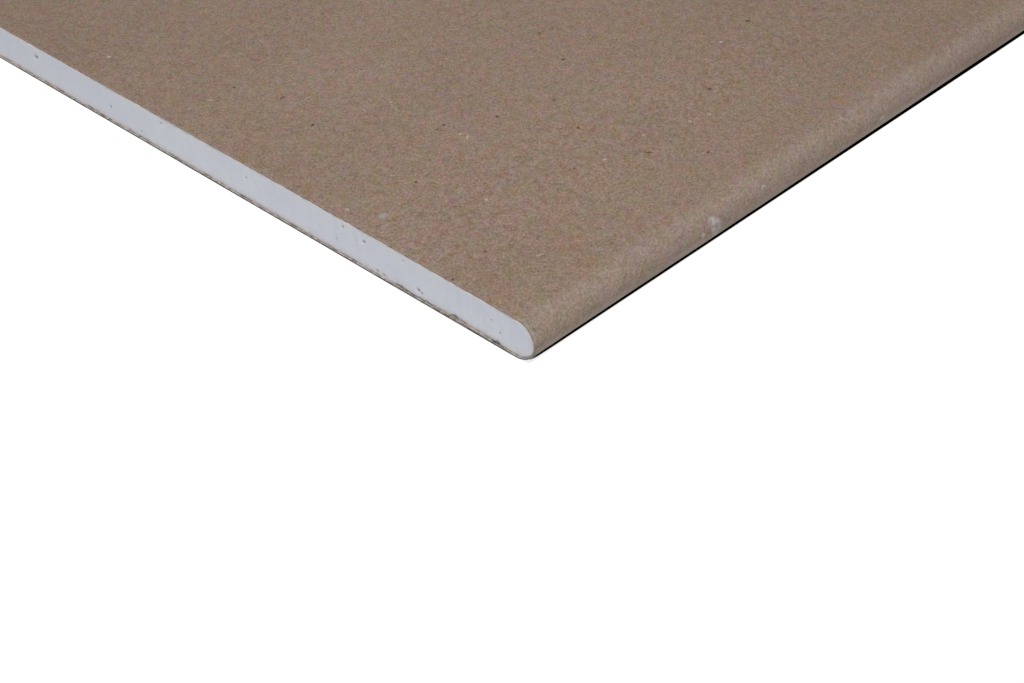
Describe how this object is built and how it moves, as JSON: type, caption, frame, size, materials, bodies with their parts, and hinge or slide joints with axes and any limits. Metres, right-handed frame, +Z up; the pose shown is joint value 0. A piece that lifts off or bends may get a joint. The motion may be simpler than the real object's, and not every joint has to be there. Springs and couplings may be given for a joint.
{
  "type": "drywall sheet",
  "caption": "Gypsum board with a pale core between a wrapped face paper and a back paper, tapered half-round long edges and square-cut ends.",
  "frame": {"origin": "middle of the underside, on the floor that the sheet lies on", "axes": "+X across the width from one tapered long edge to the other, +Y along the length, +Z up through the thickness, out of the face"},
  "size_m": [1.25, 2, 0.0125],
  "materials": {
    "gypsum_core": "cut gypsum, matt and slightly porous, bluish white",
    "face_paper": "matt recycled paper, grey-brown, finely mottled with fibres and specks",
    "back_paper": "matt recycled paper, grey-brown, torn to a thin fringe along the cut ends"
  },
  "bodies": {
    "root": {"gypsum_core": "gypsum_core", "face_paper": "face_paper", "back_paper": "back_paper"}
  },
  "joints": []
}
